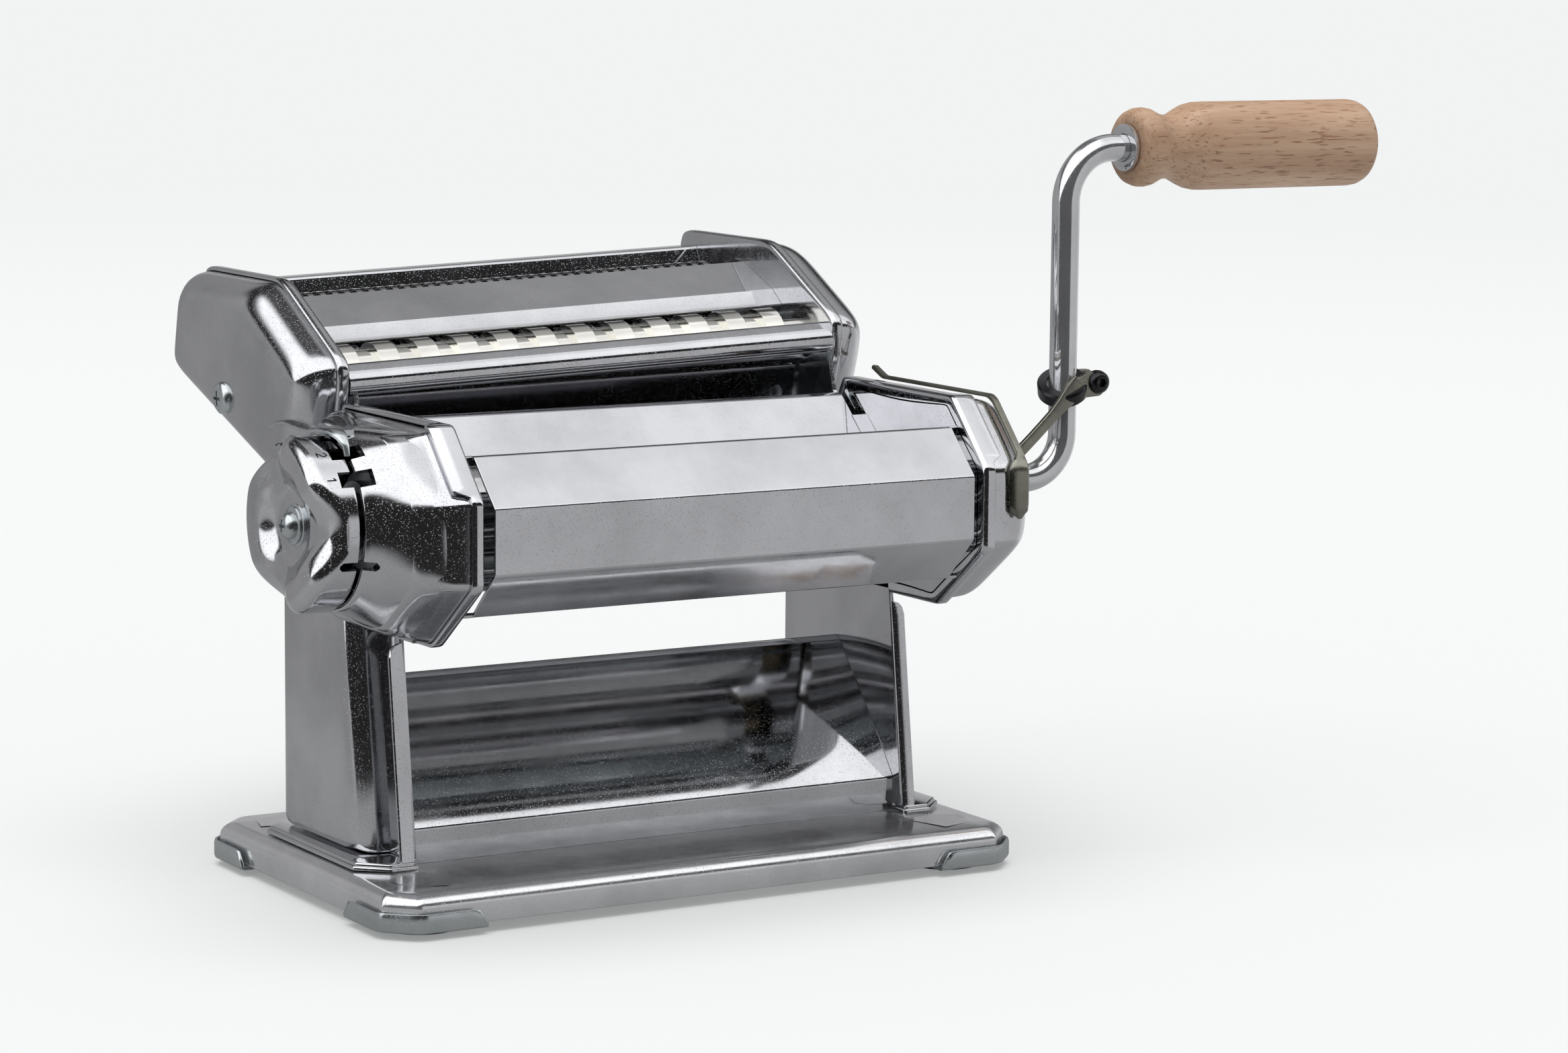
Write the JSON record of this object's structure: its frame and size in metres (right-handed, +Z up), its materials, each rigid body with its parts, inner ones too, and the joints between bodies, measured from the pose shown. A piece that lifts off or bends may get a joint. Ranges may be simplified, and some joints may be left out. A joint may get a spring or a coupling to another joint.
{
  "type": "pasta roller machine",
  "caption": "Hand-cranked pasta roller with an eight-sided chrome casing, thickness knob, wooden crank grip, folded base and a clip-on double noodle cutter.",
  "frame": {"origin": "middle of the front left rubber foot's underside, on the table", "axes": "+X along the rollers to the crank, -Y to the front cover, +Z up"},
  "size_m": [0.3871, 0.183, 0.2229],
  "materials": {
    "chrome_sheet": "mirror",
    "zinc_steel": "satin",
    "roller_steel": "polished",
    "dark_steel": "satin",
    "foot_rubber": "matte",
    "bush_bronze": "satin",
    "strap_metal": "satin",
    "grip_wood": "matte"
  },
  "bodies": {
    "machine": {"base_tray": "chrome_sheet", "corner_brackets": "zinc_steel", "rubber_feet": "foot_rubber", "foot_plates": "chrome_sheet", "side_plate_left": "chrome_sheet", "side_plate_right": "chrome_sheet", "side_shell_left": "chrome_sheet", "side_shell_right": "chrome_sheet", "chute": "chrome_sheet", "front_cover": "chrome_sheet", "rear_cover": "chrome_sheet", "hopper_plate": "chrome_sheet", "tie_rods": "zinc_steel", "tie_nuts": "zinc_steel", "drive_bushes": "bush_bronze", "fixed_scraper": "zinc_steel", "knob_bush": "zinc_steel", "index_tab": "zinc_steel", "strap_band": "strap_metal"},
    "drive": {"drive_roller": "roller_steel", "drive_gear": "dark_steel"},
    "crank": {"crank_rod": "chrome_sheet", "grip_washer": "zinc_steel", "strap_ring": "strap_metal", "strap_screw": "dark_steel"},
    "grip": {"wood_grip": "grip_wood"},
    "carriage": {"bearing_blocks": "bush_bronze", "moving_scraper": "zinc_steel"},
    "front_roll": {"adjust_roller": "roller_steel", "adjust_gear": "dark_steel"},
    "dial": {"eccentric": "dark_steel", "knob_spring": "dark_steel"},
    "knob": {"knob_shaft": "dark_steel", "knob_cup": "chrome_sheet", "knob_screw": "zinc_steel"},
    "cutter": {"cutter_plate_left": "chrome_sheet", "cutter_plate_right": "chrome_sheet", "cutter_cap_left": "chrome_sheet", "cutter_cap_right": "chrome_sheet", "cutter_hooks": "zinc_steel", "cutter_front": "chrome_sheet", "cutter_divider": "chrome_sheet", "cutter_rear": "chrome_sheet", "cutter_rods": "zinc_steel", "cutter_screws": "zinc_steel", "wide_comb": "zinc_steel", "fine_comb": "zinc_steel"},
    "wide_rear": {"wide_roller_rear": "roller_steel", "wide_gear_rear": "dark_steel"},
    "wide_front": {"wide_roller_front": "roller_steel", "wide_gear_front": "dark_steel"},
    "fine_rear": {"fine_roller_rear": "roller_steel", "fine_gear_rear": "dark_steel"},
    "fine_front": {"fine_roller_front": "roller_steel", "fine_gear_front": "dark_steel"}
  },
  "joints": [
    {"name": "drive_spin", "type": "hinge", "parent": "machine", "child": "drive", "pos_m": [0.0865, 0.03311, 0.10873], "axis": [1, 0, 0], "continuous": true},
    {"name": "crank_pull", "type": "slide", "parent": "drive", "child": "crank", "axis": [1, 0, 0], "range_m": [0, 0.03]},
    {"name": "grip_spin", "type": "hinge", "parent": "crank", "child": "grip", "pos_m": [0.296, 0.03311, 0.20923], "axis": [1, 0, 0], "continuous": true},
    {"name": "gap_slide", "type": "slide", "parent": "machine", "child": "carriage", "axis": [0, 0.9816, -0.1908], "range_m": [0, 0.0015]},
    {"name": "front_spin", "type": "hinge", "parent": "carriage", "child": "front_roll", "pos_m": [0.0865, 0.00484, 0.11423], "axis": [1, 0, 0], "continuous": true},
    {"name": "knob_turn", "type": "hinge", "parent": "machine", "child": "dial", "pos_m": [-0.0155, 0.006, 0.114], "axis": [1, 0, 0], "range_deg": [0, 107.5]},
    {"name": "knob_pull", "type": "slide", "parent": "dial", "child": "knob", "axis": [-1, 0, 0], "range_m": [0, 0.004], "stiffness_N_per_m": 1500, "springref_m": -0.003},
    {"name": "cutter_lift", "type": "slide", "parent": "machine", "child": "cutter", "axis": [0, 0, 1], "range_m": [0, 0.025]},
    {"name": "wide_rear_spin", "type": "hinge", "parent": "cutter", "child": "wide_rear", "pos_m": [0.08569, 0.0805, 0.14754], "axis": [0.9993, 0, 0.0366], "continuous": true},
    {"name": "wide_front_spin", "type": "hinge", "parent": "cutter", "child": "wide_front", "pos_m": [0.0863, 0.07509, 0.1309], "axis": [0.9993, 0, 0.0366], "continuous": true},
    {"name": "fine_rear_spin", "type": "hinge", "parent": "cutter", "child": "fine_rear", "pos_m": [0.08527, 0.122, 0.15893], "axis": [0.9993, 0, 0.0366], "continuous": true},
    {"name": "fine_front_spin", "type": "hinge", "parent": "cutter", "child": "fine_front", "pos_m": [0.08584, 0.11378, 0.14349], "axis": [0.9993, 0, 0.0366], "continuous": true}
  ],
  "couplings": [
    {"joint": "front_spin", "follows": "drive_spin", "ratio": -1},
    {"joint": "knob_turn", "follows": "gap_slide", "rad_per_m": 1250.8},
    {"joint": "wide_front_spin", "follows": "wide_rear_spin", "ratio": -1},
    {"joint": "fine_front_spin", "follows": "fine_rear_spin", "ratio": -1}
  ]
}
